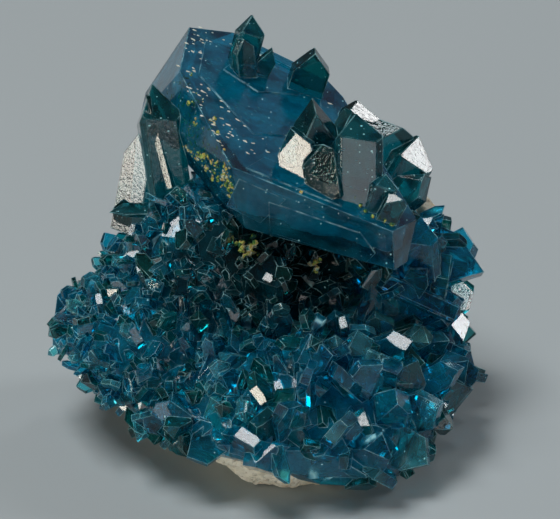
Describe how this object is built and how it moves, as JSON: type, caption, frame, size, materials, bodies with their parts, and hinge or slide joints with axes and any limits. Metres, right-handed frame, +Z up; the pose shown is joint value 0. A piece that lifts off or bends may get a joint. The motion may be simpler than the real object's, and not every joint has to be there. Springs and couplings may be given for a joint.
{
  "type": "blue-green crystal cluster on host rock",
  "caption": "Dark blue-green glassy tabular crystals on a crust of small intergrown crystals over pale rock; a display mineral specimen that rests on its flat underside.",
  "frame": {"origin": "centre of the specimen seen from above, at the level it rests on", "axes": "+Z up, -Y towards the side that is shown, with the large crystal's thick front edge"},
  "size_m": [0.0424, 0.0412, 0.0377],
  "materials": {
    "host_rock": "rough, crumbly pale rock with ochre specks",
    "crust_crystal": "clear dark blue-green crystal, glassy",
    "large_crystal": "clear dark teal-blue crystal, glassy faces with fine striations"
  },
  "bodies": {
    "root": {"host_rock": "host_rock", "druse_crust": "crust_crystal", "large_crystal": "large_crystal"}
  },
  "joints": []
}
